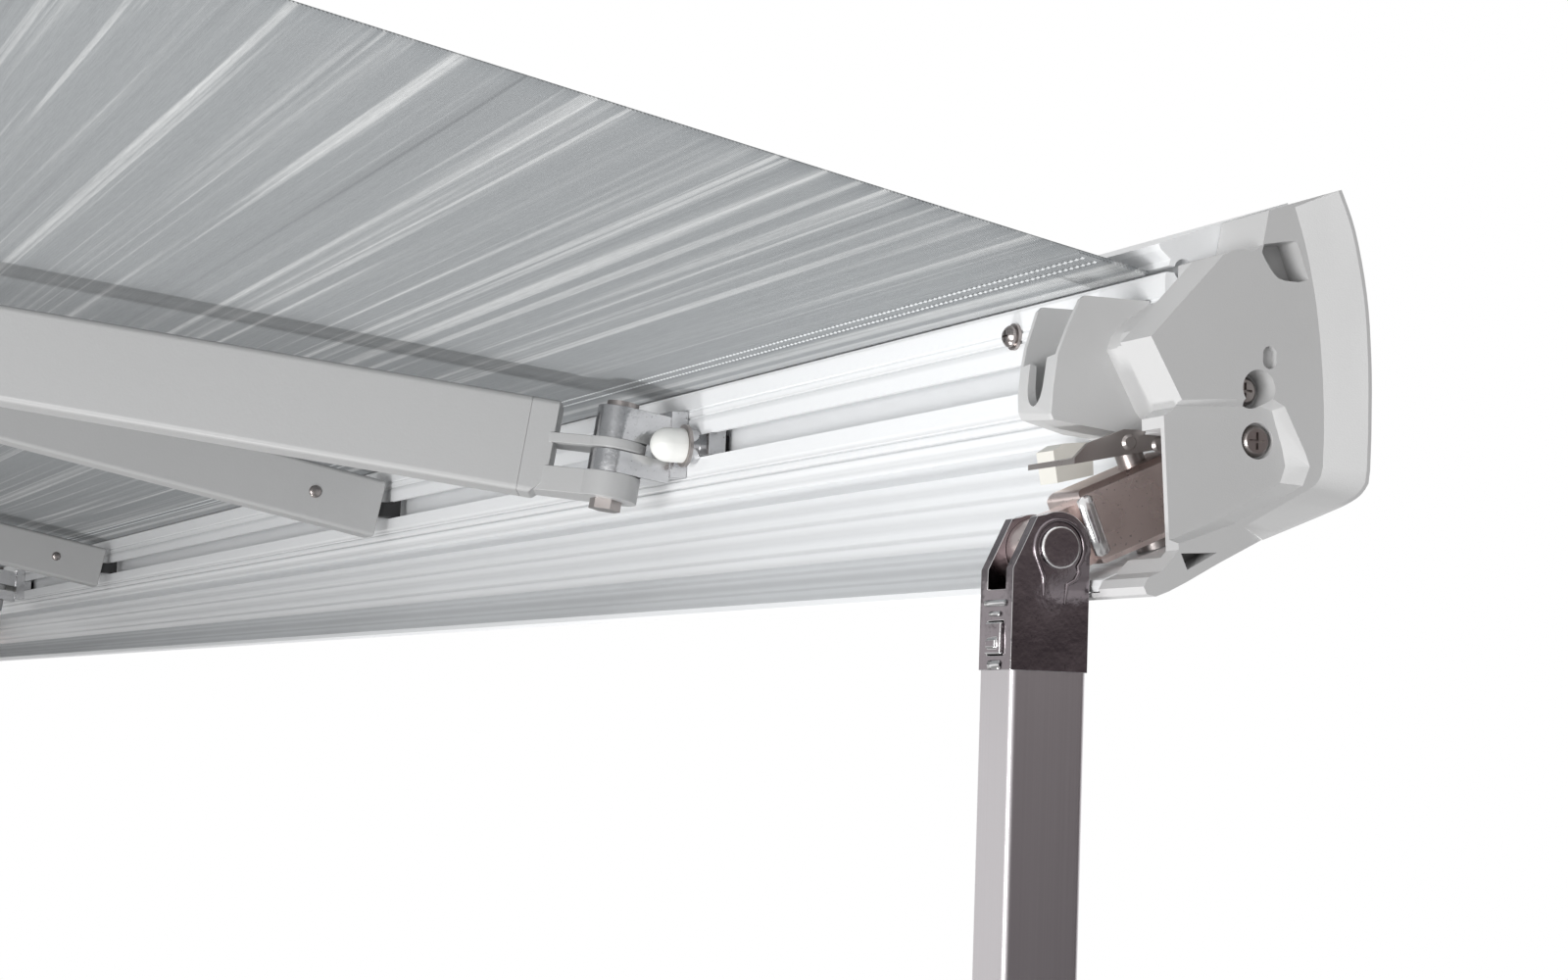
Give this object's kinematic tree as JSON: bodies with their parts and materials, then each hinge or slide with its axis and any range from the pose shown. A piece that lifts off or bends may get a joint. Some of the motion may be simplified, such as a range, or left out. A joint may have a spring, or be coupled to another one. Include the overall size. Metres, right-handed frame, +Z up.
{
  "type": "roll out awning",
  "caption": "Wall-mounted roll-out awning with cassette, sprung folding arms, lead rail, telescopic legs and striped cloth.",
  "frame": {"origin": "centre of the outer wall brackets' bolt pattern, on the wall face", "axes": "+X along the wall, -Y out from the wall, +Z up"},
  "size_m": [3.08, 1.8899, 2.3528],
  "materials": {
    "white_aluminium": "white powder coat, fine satin",
    "grey_aluminium": "pale grey powder coat",
    "cap_moulding": "light grey moulded nylon",
    "dark_moulding": "dark grey moulded nylon",
    "cream_moulding": "cream moulded acetal",
    "bumper_moulding": "white soft moulding",
    "die_casting": "bright die casting",
    "arm_casting": "grey painted casting",
    "dark_chrome": "dark chromed casting",
    "swivel_casting": "polished brown-grey casting",
    "steel": "bright zinc plated",
    "anodised": "silver anodised",
    "rubber": "black rubber",
    "canopy_cloth": "grey striped coated weave"
  },
  "bodies": {
    "case": {"wall_brackets": "steel", "wall_bolts": "steel", "case_back": "white_aluminium", "case_cover": "white_aluminium", "case_end_left": "cap_moulding", "case_end_right": "cap_moulding", "case_screws": "steel", "gearbox": "dark_moulding", "roller_bearing": "dark_moulding", "case_seal": "rubber", "shoulder_bracket_left": "arm_casting", "shoulder_bracket_right": "arm_casting", "shoulder_pins": "steel", "rafter_hooks": "steel", "canopy": "canopy_cloth", "rafter_tubes": "grey_aluminium", "rafter_ends": "dark_moulding"},
    "roller": {"roller_tube": "anodised", "roller_plugs": "dark_moulding", "wound_cloth": "canopy_cloth"},
    "winding_eye": {"winding_eye": "steel"},
    "upper_arm_left": {"upper_arm_left": "grey_aluminium", "shoulder_casting_left": "arm_casting", "elbow_fork_left": "arm_casting", "elbow_pin_left": "steel"},
    "upper_arm_right": {"upper_arm_right": "grey_aluminium", "shoulder_casting_right": "arm_casting", "elbow_fork_right": "arm_casting", "elbow_pin_right": "steel"},
    "forearm_left": {"forearm_left": "grey_aluminium", "elbow_knuckle_left": "arm_casting", "wrist_casting_left": "arm_casting"},
    "forearm_right": {"forearm_right": "grey_aluminium", "elbow_knuckle_right": "arm_casting", "wrist_casting_right": "arm_casting"},
    "lead_rail": {"wrist_bracket_left": "die_casting", "wrist_bracket_right": "die_casting", "wrist_pins": "steel", "bumpers": "bumper_moulding", "bumper_washers": "steel", "rail_profile": "white_aluminium", "end_cap_left": "cap_moulding", "end_cap_right": "cap_moulding", "rail_screws": "steel", "leg_plates": "steel", "plate_rivets": "steel", "leg_clips": "cream_moulding", "swivel_blocks": "swivel_casting", "swivel_pins": "steel", "knuckle_pins": "dark_chrome"},
    "leg_left": {"knuckle_left": "dark_chrome", "outer_leg_left": "anodised"},
    "leg_right": {"knuckle_right": "dark_chrome", "outer_leg_right": "anodised"},
    "inner_leg_left": {"inner_leg_left": "anodised", "foot_left": "rubber"},
    "inner_leg_right": {"inner_leg_right": "anodised", "foot_right": "rubber"},
    "latch_left": {"latch_left": "dark_chrome"},
    "latch_right": {"latch_right": "dark_chrome"}
  },
  "joints": [
    {"name": "arm_fold", "type": "hinge", "parent": "case", "child": "upper_arm_left", "pos_m": [-1.03, -0.066, -0.035], "axis": [0, -0.1478, 0.989], "range_deg": [0, 65], "deforming": ["canopy", "rafter_tubes", "rafter_ends"]},
    {"name": "elbow_left", "type": "hinge", "parent": "upper_arm_left", "child": "forearm_left", "pos_m": [-0.6588, -0.93087, -0.16426], "axis": [0, -0.1478, 0.989], "range_deg": [-130, 0]},
    {"name": "wrist_left", "type": "hinge", "parent": "forearm_left", "child": "lead_rail", "pos_m": [-1.03, -1.79575, -0.29351], "axis": [0, -0.1478, 0.989], "range_deg": [0, 65]},
    {"name": "shoulder_right", "type": "hinge", "parent": "case", "child": "upper_arm_right", "pos_m": [1.03, -0.066, -0.035], "axis": [0, -0.1478, 0.989], "range_deg": [-65, 0]},
    {"name": "elbow_right", "type": "hinge", "parent": "upper_arm_right", "child": "forearm_right", "pos_m": [0.6588, -0.93087, -0.16426], "axis": [0, -0.1478, 0.989], "range_deg": [0, 130]},
    {"name": "roller_spin", "type": "hinge", "parent": "case", "child": "roller", "pos_m": [0, -0.061, 0.041], "axis": [-1, 0, 0], "range_deg": [0, 2503.5]},
    {"name": "winding_eye_spin", "type": "hinge", "parent": "case", "child": "winding_eye", "pos_m": [1.461, -0.039, -0.11], "axis": [0, 0, 1], "range_deg": [0, 10014]},
    {"name": "leg_fold_left", "type": "hinge", "parent": "lead_rail", "child": "leg_left", "pos_m": [-1.483, -1.79305, -0.35951], "axis": [1, 0, 0], "range_deg": [0, 66]},
    {"name": "leg_slide_left", "type": "slide", "parent": "leg_left", "child": "inner_leg_left", "axis": [0, 0, -1], "range_m": [-0.69, 0.1]},
    {"name": "latch_press_left", "type": "slide", "parent": "leg_left", "child": "latch_left", "axis": [0, -1, 0], "range_m": [0, 0.002], "stiffness_N_per_m": 300},
    {"name": "leg_fold_right", "type": "hinge", "parent": "lead_rail", "child": "leg_right", "pos_m": [1.483, -1.79305, -0.35951], "axis": [1, 0, 0], "range_deg": [0, 66]},
    {"name": "leg_slide_right", "type": "slide", "parent": "leg_right", "child": "inner_leg_right", "axis": [0, 0, -1], "range_m": [-0.69, 0.1]},
    {"name": "latch_press_right", "type": "slide", "parent": "leg_right", "child": "latch_right", "axis": [0, -1, 0], "range_m": [0, 0.002], "stiffness_N_per_m": 300}
  ],
  "couplings": [
    {"joint": "elbow_left", "follows": "arm_fold", "ratio": -2},
    {"joint": "wrist_left", "follows": "arm_fold", "ratio": 1},
    {"joint": "elbow_right", "follows": "arm_fold", "ratio": 2},
    {"joint": "shoulder_right", "follows": "arm_fold", "ratio": -1},
    {"joint": "roller_spin", "follows": "arm_fold", "ratio": 38.5},
    {"joint": "winding_eye_spin", "follows": "arm_fold", "ratio": 154}
  ]
}
